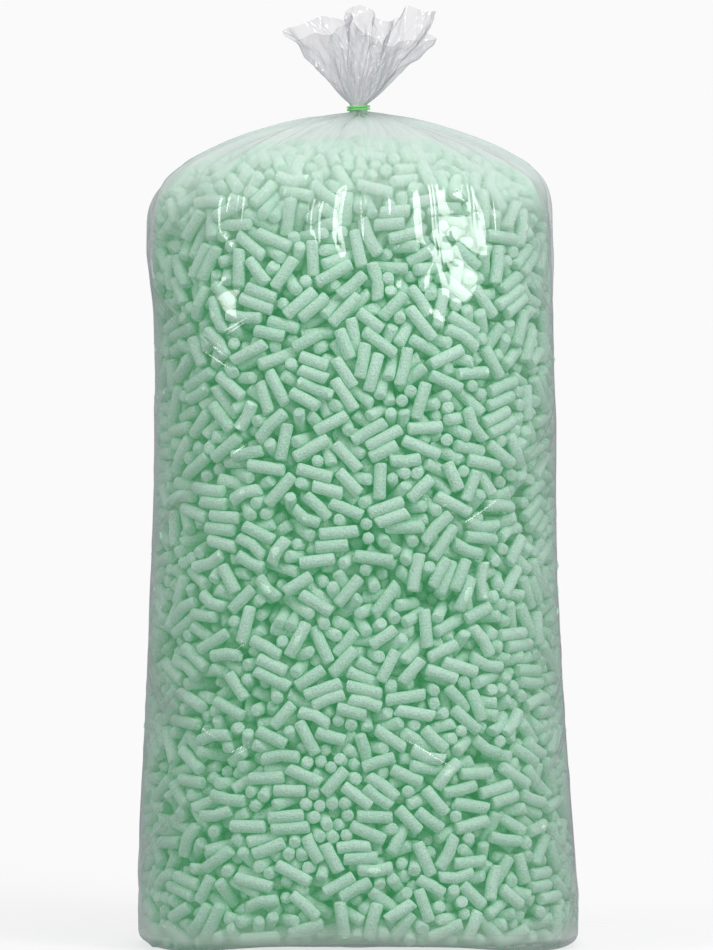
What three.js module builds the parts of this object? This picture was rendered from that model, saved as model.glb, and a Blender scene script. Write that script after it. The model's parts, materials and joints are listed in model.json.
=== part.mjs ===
// Clear film bag of foam packing peanuts, tied at the neck and standing on its flat base.
// Millimetres, +Z up. The origin is on the floor under the middle of the bag; the front faces -Y.

import * as THREE from 'three';

// Body of the bag.
const BASE_HALF_WIDTH = 252;
const BASE_EDGE_RADIUS = 42;
const BASE_EDGE_STEPS = 4;
const SHOULDER_HALF_WIDTH = 228;
const SHOULDER_HEIGHT = 800;
const DEPTH_TO_WIDTH = 0.9;
const BODY_SQUARENESS = 2.6;
const SIDE_STEPS = 19;
const AROUND = 40;

// Neck, and the flared mouth above it.
const NECK_RADIUS = 10;
const NECK_BOTTOM = 948;
const NECK_TOP = 958;
const MOUTH_DEPTH_TO_WIDTH = 0.66;
const MOUTH_STEPS = 7;
const RIM_HEIGHT = 1058;
const RIM_WAVE = 12;
const RIM_WAVES = 3;
const RIM_WAVE_TURN = 1;
const PLEATS = 10;
const NECK_PLEAT = 0.08;
const RIM_PLEAT = 0.15;

// Film wall, standing in for film about 0.05 thick, and the bunch of folds inside the tie.
const FILM_WALL = 1;
const NECK_BUNCH = 6.5;
const BUNCH_REACH = 48;

// Peanuts: the bulk of the fill, and the loose ones lying on its mound.
const FILL_GAP = 0.6;
const FILL_LAST_STEP = 10;
const MOUND_EDGE = 790;
const MOUND_TOP = 903;
const MOUND_STEPS = 7;
const PEANUT_RADIUS = 8;
const PEANUT_LENGTH = 45;
const PEANUT_LENGTH_SPREAD = 0.1;
const PEANUT_END_ROUND = 2;
const PEANUT_SIDES = 10;
const LOOSE_PEANUTS = 36;
const LOOSE_GAP = 0.8;
const LOOSE_FROM = 0.4;
const LOOSE_SEED = 7;

// Neck tie: coated wire wound round the neck, its two ends twisted together at the back.
const WIRE_RADIUS = 1.1;
const WIRE_SIDES = 8;
const WIRE_STEPS = 96;
const WRAP_POINTS = 32;
const STRAND_POINTS = 16;
const WIRE_PITCH = 2.9;
const WIRE_GAP = 0.5;
const WRAP_START = THREE.MathUtils.degToRad(130);
const WRAP_END = THREE.MathUtils.degToRad(50 + 2 * 360);
const TAIL_START = 18;
const TAIL_LENGTH = 26;
const TAIL_DROOP = 0.3;
const TAIL_TURNS = 2;
const TAIL_SPREAD = 1.6;

const { clamp, lerp, smoothstep } = THREE.MathUtils;

function material(color, roughness, opacity = 1) {
  return new THREE.MeshStandardMaterial({
    color, roughness, metalness: 0, opacity, transparent: opacity < 1,
  });
}
const clearFilm = material(0xdfe8e6, 0.12, 0.35);
const bulkFoam = material(0x9fd9b6, 0.9);
const peanutFoam = material(0xb4e3c6, 0.9);
const greenWire = material(0x2f9a45, 0.4);

// An outline runs up one side of the bag. Each point is a half width, a lean to the right, a height.
const outline = (points) => new THREE.CatmullRomCurve3(
  points.map((point) => new THREE.Vector3(...point)),
  false,
  'centripetal',
);
const sideOutline = outline([
  [BASE_HALF_WIDTH, 0, BASE_EDGE_RADIUS],
  [246, -3, 170],
  [234, -5, 390],
  [229, -4, 620],
  [SHOULDER_HALF_WIDTH, -8, SHOULDER_HEIGHT],
  [223, -8, 848],
  [200, -6, 882],
  [160, -5, 907],
  [94, -3, 930],
  [34, 0, 943],
  [NECK_RADIUS, 0, NECK_BOTTOM],
]);
const mouthOutline = outline([
  [NECK_RADIUS, 0, NECK_TOP],
  [22, 0, 966],
  [42, 4, 994],
  [72, 7, 1028],
  [84, 6, RIM_HEIGHT],
]);
const moundOutline = outline([
  [SHOULDER_HALF_WIDTH - FILM_WALL - FILL_GAP, -8, MOUND_EDGE],
  [214, -8, 824],
  [188, -7, 851],
  [150, -5, 872],
  [90, -3, 890],
  [20, 0, MOUND_TOP],
]);

// A station is one level of the bag: its half width, lean and height, and which way is out.
function stationsAlong(curve, steps) {
  return Array.from({ length: steps + 1 }, (_, step) => stationAt(curve, step / steps));
}

function stationAt(curve, along) {
  const point = curve.getPoint(along);
  const tangent = curve.getTangent(along);
  const outward = new THREE.Vector2(tangent.z, -tangent.x).normalize();
  return { halfWidth: point.x, lean: point.y, height: point.z, outward };
}

// The rounded edge between the flat base and the side.
function baseEdgeStations() {
  return Array.from({ length: BASE_EDGE_STEPS }, (_, step) => {
    const turn = (step / BASE_EDGE_STEPS) * (Math.PI / 2);
    return {
      halfWidth: BASE_HALF_WIDTH - BASE_EDGE_RADIUS * (1 - Math.sin(turn)),
      lean: 0,
      height: BASE_EDGE_RADIUS * (1 - Math.cos(turn)),
      outward: new THREE.Vector2(Math.sin(turn), -Math.cos(turn)),
    };
  });
}

const movedIn = (station, distance) => ({
  ...station,
  halfWidth: station.halfWidth - station.outward.x * distance,
  height: station.height - station.outward.y * distance,
});

// The body's section is a rounded square that turns into a circle at the neck.
function bodySection({ halfWidth }) {
  const neckless = smoothstep(halfWidth, NECK_RADIUS, BASE_HALF_WIDTH / 2);
  return {
    depthToWidth: lerp(1, DEPTH_TO_WIDTH, neckless),
    squareness: lerp(2, BODY_SQUARENESS, neckless),
    pleat: 0,
    wave: 0,
  };
}

// The film over the shoulders is drawn into pleats towards the neck.
function filmSection(station) {
  const drawnIn = 1 - smoothstep(station.halfWidth, NECK_RADIUS, BASE_HALF_WIDTH / 2);
  return { ...bodySection(station), pleat: NECK_PLEAT * drawnIn };
}

// The mouth opens out of the neck as a wide, shallow, pleated fan with a wavy rim.
function mouthSection({ height }) {
  const opened = smoothstep(height, NECK_TOP, RIM_HEIGHT);
  return {
    depthToWidth: lerp(1, MOUTH_DEPTH_TO_WIDTH, opened),
    squareness: 2,
    pleat: lerp(NECK_PLEAT, RIM_PLEAT, opened),
    wave: RIM_WAVE * opened ** 2,
  };
}

function pointOn(station, section, angle) {
  const across = Math.abs(Math.cos(angle)) ** section.squareness;
  const deep = Math.abs(Math.sin(angle) / section.depthToWidth) ** section.squareness;
  const pleated = station.halfWidth * (1 + section.pleat * Math.cos(PLEATS * angle));
  const radius = pleated * (across + deep) ** (-1 / section.squareness);
  return new THREE.Vector3(
    station.lean + radius * Math.cos(angle),
    radius * Math.sin(angle),
    station.height + section.wave * Math.sin(RIM_WAVES * angle + RIM_WAVE_TURN),
  );
}

const ringOf = (sectionOf) => (station) => {
  const section = sectionOf(station);
  const angles = Array.from({ length: AROUND }, (_, step) => (step / AROUND) * 2 * Math.PI);
  return angles.map((angle) => pointOn(station, section, angle));
};
const bodyRing = ringOf(bodySection);
const filmRing = ringOf(filmSection);
const mouthRing = ringOf(mouthSection);

// A closed body through rings of points, its first and last ring each closed with a fan.
function loft(rings) {
  const positions = rings.flat().flatMap((point) => point.toArray());
  const index = [];
  for (let band = 0; band < rings.length - 1; band += 1) {
    for (let step = 0; step < AROUND; step += 1) {
      const next = (step + 1) % AROUND;
      const lower = band * AROUND;
      const upper = lower + AROUND;
      index.push(lower + step, lower + next, upper + next);
      index.push(lower + step, upper + next, upper + step);
    }
  }
  for (const [end, first] of [[rings[0], 0], [rings.at(-1), (rings.length - 1) * AROUND]]) {
    const middle = end.reduce((sum, point) => sum.add(point), new THREE.Vector3());
    const centre = positions.length / 3;
    positions.push(...middle.divideScalar(AROUND).toArray());
    for (let step = 0; step < AROUND; step += 1) {
      const edge = [first + step, first + (step + 1) % AROUND];
      index.push(centre, ...(first === 0 ? edge.reverse() : edge));
    }
  }
  const geometry = new THREE.BufferGeometry();
  geometry.setAttribute('position', new THREE.Float32BufferAttribute(positions, 3));
  geometry.setIndex(index);
  geometry.computeVertexNormals();
  return geometry;
}

// The film: up the outside from base to rim, then down the inside. It is open at the rim only.
function bagFilm() {
  const body = [...baseEdgeStations(), ...stationsAlong(sideOutline, SIDE_STEPS)];
  const mouth = stationsAlong(mouthOutline, MOUTH_STEPS);
  const wall = ({ halfWidth, height }) => {
    const bunched = height > SHOULDER_HEIGHT ? 1 - smoothstep(halfWidth, NECK_RADIUS, BUNCH_REACH) : 0;
    return lerp(FILM_WALL, NECK_BUNCH, bunched);
  };
  const inside = (station) => movedIn(station, wall(station));
  return loft([
    ...body.map(filmRing),
    ...mouth.map(mouthRing),
    ...mouth.map(inside).map(mouthRing).reverse(),
    ...body.map(inside).map(filmRing).reverse(),
  ]);
}

// The bulk of the peanuts: the space inside the film, up to the mound that they make at the top.
function peanutFill() {
  const against = [...baseEdgeStations(), ...stationsAlong(sideOutline, SIDE_STEPS)]
    .map((station) => movedIn(station, FILM_WALL + FILL_GAP))
    .filter((station) => station.height < MOUND_EDGE - FILL_LAST_STEP);
  const mound = stationsAlong(moundOutline, MOUND_STEPS);
  return loft([...against, ...mound].map(bodyRing));
}

// One peanut: a foam cylinder with slightly rounded ends, its length along Y.
function peanut() {
  const half = PEANUT_LENGTH / 2;
  const flat = PEANUT_RADIUS - PEANUT_END_ROUND;
  const side = half - PEANUT_END_ROUND;
  const profile = [
    [0, -half],
    [flat, -half],
    [PEANUT_RADIUS, -side],
    [PEANUT_RADIUS, side],
    [flat, half],
    [0, half],
  ];
  return new THREE.LatheGeometry(profile.map((point) => new THREE.Vector2(...point)), PEANUT_SIDES);
}

// A repeatable run of numbers from 0 to 1.
function repeatable(seed) {
  let state = seed;
  return () => {
    state = (Math.imul(state, 1664525) + 1013904223) >>> 0;
    return state / 2 ** 32;
  };
}

// Where one peanut would lie on the mound: on its side, touching down at the middle.
function layOnMound(random) {
  const along = lerp(LOOSE_FROM, 1, random());
  const angle = random() * 2 * Math.PI;
  const surface = (t, a) => {
    const station = stationAt(moundOutline, clamp(t, 0, 1));
    return pointOn(station, bodySection(station), a);
  };
  const step = 0.01;
  const down = surface(along - step, angle).sub(surface(along + step, angle)).normalize();
  const aside = surface(along, angle + step).sub(surface(along, angle - step)).normalize();
  const normal = down.cross(aside).normalize();
  const heading = aside.applyAxisAngle(normal, random() * Math.PI);
  const centre = surface(along, angle).addScaledVector(normal, PEANUT_RADIUS + LOOSE_GAP);
  const stretch = 1 + PEANUT_LENGTH_SPREAD * (2 * random() - 1);
  const reach = heading.clone().multiplyScalar((stretch * PEANUT_LENGTH) / 2);
  const axis = new THREE.Line3(centre.clone().sub(reach), centre.clone().add(reach));
  return { centre, heading, stretch, axis };
}

function loosePeanuts() {
  const random = repeatable(LOOSE_SEED);
  const clearance = (2 * PEANUT_RADIUS + LOOSE_GAP) ** 2;
  const laid = [];
  while (laid.length < LOOSE_PEANUTS) {
    const place = layOnMound(random);
    if (laid.every((other) => other.axis.distanceSqToLine3(place.axis) > clearance)) {
      laid.push(place);
    }
  }
  const geometry = peanut();
  const lengthwise = new THREE.Vector3(0, 1, 0);
  return laid.map(({ centre, heading, stretch }, number) => {
    const mesh = named(`loose_peanut_${String(number + 1).padStart(2, '0')}`, geometry, peanutFoam);
    mesh.position.copy(centre);
    mesh.quaternion.setFromUnitVectors(lengthwise, heading);
    mesh.scale.y = stretch;
    return mesh;
  });
}

// The wire runs in along the twist, round the neck, and out along the twist again.
function neckTie() {
  const wrapRadius = NECK_RADIUS * (1 + NECK_PLEAT) + WIRE_GAP + WIRE_RADIUS;
  const middle = (NECK_BOTTOM + NECK_TOP) / 2;
  const wrapTurns = (WRAP_END - WRAP_START) / (2 * Math.PI);
  const wrap = Array.from({ length: WRAP_POINTS + 1 }, (_, step) => {
    const along = step / WRAP_POINTS;
    const angle = lerp(WRAP_START, WRAP_END, along);
    const height = middle + WIRE_PITCH * wrapTurns * (along - 0.5);
    return new THREE.Vector3(wrapRadius * Math.cos(angle), wrapRadius * Math.sin(angle), height);
  });
  const strand = (phase) => Array.from({ length: STRAND_POINTS + 1 }, (_, step) => {
    const along = step / STRAND_POINTS;
    const turn = phase + along * TAIL_TURNS * 2 * Math.PI;
    return new THREE.Vector3(
      TAIL_SPREAD * Math.cos(turn),
      TAIL_START + along * TAIL_LENGTH,
      middle - TAIL_DROOP * TAIL_LENGTH * along ** 2 + TAIL_SPREAD * Math.sin(turn),
    );
  });
  const route = [...strand(-Math.PI / 2).reverse(), ...wrap, ...strand(Math.PI / 2)];
  const section = new THREE.Shape();
  section.setFromPoints(Array.from({ length: WIRE_SIDES }, (_, side) => {
    const angle = (side / WIRE_SIDES) * 2 * Math.PI;
    return new THREE.Vector2(WIRE_RADIUS * Math.cos(angle), WIRE_RADIUS * Math.sin(angle));
  }));
  return new THREE.ExtrudeGeometry(section, {
    steps: WIRE_STEPS,
    extrudePath: new THREE.CatmullRomCurve3(route, false, 'centripetal'),
  });
}

function named(name, geometry, meshMaterial) {
  const mesh = new THREE.Mesh(geometry, meshMaterial);
  mesh.name = name;
  return mesh;
}

const bag = new THREE.Group();
bag.add(
  named('bag_film', bagFilm(), clearFilm),
  named('peanut_fill', peanutFill(), bulkFoam),
  named('neck_tie', neckTie(), greenWire),
  ...loosePeanuts(),
);

export default bag;
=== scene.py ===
import json
import math

import bpy
import numpy as np
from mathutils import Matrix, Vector

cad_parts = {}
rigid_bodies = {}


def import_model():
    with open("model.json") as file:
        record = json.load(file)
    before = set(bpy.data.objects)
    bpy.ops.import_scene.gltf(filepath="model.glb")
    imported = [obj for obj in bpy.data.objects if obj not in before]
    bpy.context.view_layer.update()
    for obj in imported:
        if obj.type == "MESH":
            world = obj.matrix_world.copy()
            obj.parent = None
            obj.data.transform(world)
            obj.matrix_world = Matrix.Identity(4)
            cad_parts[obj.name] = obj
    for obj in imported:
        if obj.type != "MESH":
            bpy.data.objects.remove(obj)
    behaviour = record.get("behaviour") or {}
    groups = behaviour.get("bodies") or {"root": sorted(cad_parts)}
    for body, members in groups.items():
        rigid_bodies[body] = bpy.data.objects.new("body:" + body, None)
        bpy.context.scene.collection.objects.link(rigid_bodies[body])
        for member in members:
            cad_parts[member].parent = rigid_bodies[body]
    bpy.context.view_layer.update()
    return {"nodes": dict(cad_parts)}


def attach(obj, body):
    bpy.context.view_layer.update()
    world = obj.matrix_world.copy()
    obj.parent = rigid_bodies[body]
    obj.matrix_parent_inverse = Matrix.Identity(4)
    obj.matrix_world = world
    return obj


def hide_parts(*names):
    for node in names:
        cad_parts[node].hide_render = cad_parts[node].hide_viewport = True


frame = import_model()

# Peanuts. Lengths are in metres.
PEANUT_RADIUS = 0.0072
PEANUT_LENGTH = 0.040
LENGTH_SPREAD = 0.15
LOOSE_LENGTH_SHARE = 0.89
END_ROUND = 0.0027
PACKED_SHARE = 0.60
PACKING_ROUNDS = 260
OUTER_DEPTH = 0.017
SKIN_DEPTH = 0.036

# Film.
FILM_AROUND = 300
FILM_STEP = 0.0047
NECK_RADIUS = 0.010
NECK_BOTTOM = 0.948
NECK_TOP = 0.958
FILM_SHINE = 1.6

# Section of the bag: the CAD film's, with a tighter edge round the base.
BODY_SQUARENESS = 2.6
DEPTH_TO_WIDTH = 0.9
BASE_EDGE_RADIUS = 0.020
SHOULDER_HEIGHT = 0.800
BASE_LIFT = 0.013

# View: the height seen at the bag, the point looked at, and from how far and how high.
VIEW_HEIGHT = 1.083
VIEW_AIM = (-0.0023, 0.0, 0.5350)
VIEW_DISTANCE = 12.0
VIEW_ELEVATION = 1.3
FLOOR_RADIUS = 3.0
FLOOR_SIDES = 64

rng = np.random.default_rng(20)


# ---------------------------------------------------------------- small helpers

def smoothstep(low, high, value):
    share = np.clip((value - low) / (high - low), 0.0, 1.0)
    return share * share * (3.0 - 2.0 * share)


def lerp(start, end, share):
    return start + (end - start) * share


def unit(vectors):
    return vectors / np.maximum(np.linalg.norm(vectors, axis=-1, keepdims=True), 1e-12)


def mesh_object(name, points, faces, smooth=True):
    mesh = bpy.data.meshes.new(name)
    mesh.from_pydata([tuple(point) for point in points], [], [tuple(face) for face in faces])
    mesh.validate()
    mesh.polygons.foreach_set("use_smooth", [smooth] * len(mesh.polygons))
    made = bpy.data.objects.new(name, mesh)
    bpy.context.scene.collection.objects.link(made)
    return made


def distance_along(points):
    """How far along a run of points each one is."""
    return np.concatenate([[0], np.cumsum(np.linalg.norm(np.diff(points, axis=0), axis=1))])


def smooth_stretch(start, leave, end, arrive, share):
    """Points from start to end on a curve that sets off along leave and comes in along arrive."""
    return (
        (2 * share**3 - 3 * share**2 + 1) * start + (share**3 - 2 * share**2 + share) * leave
        + (3 * share**2 - 2 * share**3) * end + (share**3 - share**2) * arrive
    )


def smooth_path(stops, step):
    """Points about step apart on a smooth curve through the stops."""
    stops = np.array(stops, float)
    padded = np.vstack([2 * stops[0] - stops[1], stops, 2 * stops[-1] - stops[-2]])
    fine = []
    for i in range(1, len(padded) - 2):
        p0, p1, p2, p3 = padded[i - 1:i + 3]
        a, b, c = [max(np.linalg.norm(q - r), 1e-6) ** 0.5 for q, r in ((p1, p0), (p2, p1), (p3, p2))]
        m1 = (p2 - p1) / b - (p2 - p0) / (a + b) + (p1 - p0) / a
        m2 = (p3 - p2) / c - (p3 - p1) / (b + c) + (p2 - p1) / b
        t = np.linspace(0, 1, 60, endpoint=False)[:, None]
        fine.append(smooth_stretch(p1, m1 * b, p2, m2 * b, t))
    fine = np.vstack(fine + [stops[-1:]])
    run = distance_along(fine)
    count = max(2, int(round(run[-1] / step)) + 1)
    at = np.linspace(0, run[-1], count)
    return np.stack([np.interp(at, run, fine[:, axis]) for axis in range(fine.shape[1])], axis=1)


def node_points(name):
    mesh = frame["nodes"][name].data
    points = np.zeros(len(mesh.vertices) * 3, np.float32)
    mesh.vertices.foreach_get("co", points)
    return points.reshape(-1, 3).astype(float)


def add_node(nodes, kind, inputs=None, **settings):
    """A node of this kind, with its settings made first and then its inputs' values."""
    node = nodes.new(kind)
    for name, value in settings.items():
        setattr(node, name, value)
    for socket, value in (inputs or {}).items():
        node.inputs[socket].default_value = value
    return node


def add_socket(tree, name, kind, way="INPUT"):
    return tree.interface.new_socket(name, in_out=way, socket_type="NodeSocket" + kind)


def wire(start, out, end, into):
    """Links two nodes of one tree, by the names or numbers of their sockets."""
    start.id_data.links.new(start.outputs[out], end.inputs[into])


def colour_ramp(nodes, *stops):
    """A colour ramp of two stops, each a place and a colour."""
    ramp = nodes.new("ShaderNodeValToRGB")
    for element, (place, colour) in zip(ramp.color_ramp.elements, stops):
        element.position = place
        element.color = (*colour, 1.0)
    return ramp


def new_material(name):
    material = bpy.data.materials.new(name)
    material.use_nodes = True
    material.node_tree.nodes.clear()
    return material, material.node_tree.nodes


# ---------------------------------------------------------------- view, light and floor

def make_camera():
    elevation = math.radians(VIEW_ELEVATION)
    data = bpy.data.cameras.new("camera")
    data.sensor_width = 36.0
    data.lens = data.sensor_width * VIEW_DISTANCE / VIEW_HEIGHT
    data.clip_end = 100.0
    camera = bpy.data.objects.new("camera", data)
    bpy.context.scene.collection.objects.link(camera)
    back = Vector((0.0, -math.cos(elevation), math.sin(elevation)))
    camera.location = Vector(VIEW_AIM) + back * VIEW_DISTANCE
    camera.rotation_euler = (-back).to_track_quat("-Z", "Y").to_euler()
    bpy.context.scene.camera = camera


def softbox(name, place, width, height, power, mirrored=True, aim=(0.0, 0.0, 0.6)):
    light = bpy.data.lights.new(name, "AREA")
    light.shape = "RECTANGLE"
    light.size = width
    light.size_y = height
    light.energy = power
    lamp = bpy.data.objects.new(name, light)
    bpy.context.scene.collection.objects.link(lamp)
    lamp.location = place
    lamp.rotation_euler = (Vector(aim) - Vector(place)).to_track_quat("-Z", "Y").to_euler()
    lamp.visible_glossy = mirrored
    return lamp


def make_studio():
    """A pale room: near white behind the bag, soft light from above, grey walls in the film's shine."""
    world = bpy.data.worlds.new("studio")
    bpy.context.scene.world = world
    world.use_nodes = True
    world.cycles.sampling_method = "NONE"
    nodes = world.node_tree.nodes
    nodes.clear()
    place = nodes.new("ShaderNodeTexCoord")
    split = nodes.new("ShaderNodeSeparateXYZ")
    lift = add_node(nodes, "ShaderNodeMath", {1: 0.5, 2: 0.5}, operation="MULTIPLY_ADD")
    wire(place, "Generated", split, 0)
    wire(split, "Z", lift, 0)

    def room(low, low_colour, high, high_colour):
        shade = colour_ramp(nodes, (low, low_colour), (high, high_colour))
        background = nodes.new("ShaderNodeBackground")
        wire(lift, 0, shade, "Fac")
        wire(shade, "Color", background, "Color")
        return background

    seen = add_node(nodes, "ShaderNodeBackground", {"Color": (0.955, 0.955, 0.955, 1.0)})
    soft = room(0.40, (0.28, 0.28, 0.28), 0.90, (0.48, 0.48, 0.48))
    shine = room(0.46, (0.28, 0.28, 0.31), 0.80, (0.85, 0.85, 0.88))
    path = nodes.new("ShaderNodeLightPath")
    mirrored = nodes.new("ShaderNodeMixShader")
    mix = nodes.new("ShaderNodeMixShader")
    out = nodes.new("ShaderNodeOutputWorld")
    wire(path, "Is Glossy Ray", mirrored, "Fac")
    wire(soft, 0, mirrored, 1)
    wire(shine, 0, mirrored, 2)
    wire(path, "Is Camera Ray", mix, "Fac")
    wire(mirrored, 0, mix, 1)
    wire(seen, 0, mix, 2)
    wire(mix, 0, out, "Surface")
    softbox("softbox_left", (-2.2, -1.6, 1.75), 0.55, 1.35, 18.0)
    softbox("softbox_right", (1.6, -2.1, 1.90), 0.95, 1.35, 34.0)
    softbox("fill_front", (0.6, -1.7, 3.1), 1.6, 1.2, 24.0, mirrored=False, aim=(0.0, 0.0, 0.9))
    softbox("softbox_top", (0.0, -0.6, 2.9), 1.6, 1.2, 10.0, mirrored=False)
    softbox("softbox_back", (0.3, 2.6, 1.9), 1.6, 1.2, 32.0, mirrored=False)


def make_floor():
    turns = np.arange(FLOOR_SIDES) / FLOOR_SIDES * 2 * math.pi
    rim = [(FLOOR_RADIUS * math.cos(a), FLOOR_RADIUS * math.sin(a), 0.0) for a in turns]
    floor = mesh_object("floor", rim, [tuple(range(FLOOR_SIDES))], smooth=False)
    material, nodes = new_material("pale floor")
    place = nodes.new("ShaderNodeTexCoord")
    distance = add_node(nodes, "ShaderNodeVectorMath", operation="LENGTH")
    fade = add_node(
        nodes, "ShaderNodeMapRange",
        {"From Min": 0.40, "From Max": 2.8, "To Min": 0.72, "To Max": 1.0},
        interpolation_type="SMOOTHSTEP",
    )
    pale = add_node(nodes, "ShaderNodeBsdfDiffuse", {"Color": (0.86, 0.86, 0.86, 1.0)})
    clear = nodes.new("ShaderNodeBsdfTransparent")
    mix = nodes.new("ShaderNodeMixShader")
    out = nodes.new("ShaderNodeOutputMaterial")
    wire(place, "Object", distance, 0)
    wire(distance, "Value", fade, "Value")
    wire(fade, "Result", mix, "Fac")
    wire(pale, 0, mix, 1)
    wire(clear, 0, mix, 2)
    wire(mix, 0, out, "Surface")
    floor.data.materials.append(material)


# ---------------------------------------------------------------- packing the peanuts

# Half width, lean and height of the heap's top, close under the film's shoulders.
HEAP_STOPS = [
    (0.2270, -0.008, 0.7900),
    (0.2258, -0.008, 0.8200),
    (0.2200, -0.008, 0.8480),
    (0.1990, -0.007, 0.8770),
    (0.1560, -0.006, 0.9000),
    (0.0900, -0.003, 0.9160),
    (0.0300, 0.000, 0.9220),
    (0.0060, 0.000, 0.9230),
]


def fullness(height):
    """The bag's shoulders slope back at the front and rear sooner than they do at the sides."""
    return 1 - 0.11 * smoothstep(0.65, 0.89, height)


class Container:
    """Where the middles of the peanuts' ends may be: the CAD fill, fuller at the foot and shallower at the
    shoulders, less a peanut's radius."""

    def __init__(self, node, inset):
        points = node_points(node)
        levels = np.unique(np.round(points[:, 2], 5))
        rings = [points[np.abs(points[:, 2] - level) < 2e-5] for level in levels]
        rings = [ring for ring in rings if np.ptp(ring[:, 0]) > 0.002 and ring[0, 2] < HEAP_STOPS[0][2]]
        heap = smooth_path(HEAP_STOPS, 0.004)
        height = np.append([ring[:, 2].mean() for ring in rings], heap[:, 2])
        width = np.append([np.ptp(ring[:, 0]) / 2 for ring in rings], heap[:, 0])
        depth = np.append([np.ptp(ring[:, 1]) / 2 for ring in rings], DEPTH_TO_WIDTH * heap[:, 0])
        lean = np.append([(ring[:, 0].max() + ring[:, 0].min()) / 2 for ring in rings], heap[:, 1])
        # The peanuts fill the film's foot right down into its edge.
        low = height < 0.05
        drawn_in = BASE_EDGE_RADIUS * (1 - np.sqrt(1 - np.clip(1 - height / BASE_EDGE_RADIUS, 0, 1) ** 2))
        width[low] = np.maximum(width[low], width[low].max() - drawn_in[low])
        depth[low] = np.maximum(depth[low], depth[low].max() - drawn_in[low])
        along = np.stack([np.gradient(width), np.gradient(height)], axis=1)
        outward = unit(np.stack([along[:, 1], -along[:, 0]], axis=1))
        level = height - outward[:, 1] * inset
        in_order = np.argsort(level, kind="stable")
        self.level = level[in_order]
        self.width = np.maximum((width - outward[:, 0] * inset)[in_order], 0.012)
        self.depth = np.maximum((depth - outward[:, 0] * inset)[in_order] * fullness(self.level), 0.012)
        self.lean = lean[in_order]
        self.floor = height.min() + inset
        self.top = height.max() - inset

    def gap(self, points):
        """How far each point is inside the wall (negative when outside), and the way out."""
        z = np.clip(points[:, 2], self.level[0], self.level[-1])
        width = np.interp(z, self.level, self.width)
        depth = np.interp(z, self.level, self.depth)
        step = 0.002
        wider = np.interp(z + step, self.level, self.width)
        slope = (wider - np.interp(z - step, self.level, self.width)) / (2 * step)
        across = (points[:, 0] - np.interp(z, self.level, self.lean)) / width
        deep = points[:, 1] / depth
        n = BODY_SQUARENESS
        reach = np.maximum((np.abs(across) ** n + np.abs(deep) ** n) ** (1 / n), 1e-6)
        way = np.stack(
            [
                reach ** (1 - n) * np.abs(across) ** (n - 1) / width * np.sign(across),
                reach ** (1 - n) * np.abs(deep) ** (n - 1) / depth * np.sign(deep),
                -reach * slope / width,
            ],
            axis=1,
        )
        size = np.maximum(np.linalg.norm(way, axis=1), 1e-6)
        return (1 - reach) / size, way / size[:, None]


def near_pairs(centres, reach):
    """Pairs of peanuts whose middles are within reach of each other."""
    cell = np.floor(centres / reach).astype(np.int64)
    cell -= cell.min(axis=0) - 1
    size = cell.max(axis=0) + 2
    key = (cell[:, 0] * size[1] + cell[:, 1]) * size[2] + cell[:, 2]
    order = np.argsort(key, kind="stable")
    in_order = key[order]
    steps = [(0, 0, 0)] + [
        (dx, dy, dz)
        for dx in (-1, 0, 1)
        for dy in (-1, 0, 1)
        for dz in (-1, 0, 1)
        if (dx, dy, dz) > (0, 0, 0)
    ]
    firsts, seconds = [], []
    for dx, dy, dz in steps:
        wanted = key + (dx * size[1] + dy) * size[2] + dz
        start = np.searchsorted(in_order, wanted, "left")
        count = np.searchsorted(in_order, wanted, "right") - start
        first = np.repeat(np.arange(len(key)), count)
        within = np.arange(count.sum()) - np.repeat(np.cumsum(count) - count, count)
        second = order[np.repeat(start, count) + within]
        keep = first < second if (dx, dy, dz) == (0, 0, 0) else slice(None)
        firsts.append(first[keep])
        seconds.append(second[keep])
    first, second = np.concatenate(firsts), np.concatenate(seconds)
    close = ((centres[first] - centres[second]) ** 2).sum(axis=1) < reach * reach
    return first[close], second[close]


def closest_on_axes(p, u, h, q, v, k):
    """Where two peanuts' axes come nearest: the places s and t along them, and the vector between."""
    apart = p - q
    b = (u * v).sum(axis=1)
    d = (u * apart).sum(axis=1)
    e = (v * apart).sum(axis=1)
    s = np.clip((b * e - d) / np.maximum(1 - b * b, 1e-4), -h, h)
    t = np.clip(b * s + e, -k, k)
    s = np.clip(b * t - d, -h, h)
    return s, t, apart + s[:, None] * u - t[:, None] * v


def summed(count, where, values):
    return np.stack([np.bincount(where, values[:, axis], count) for axis in range(3)], axis=1)


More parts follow.
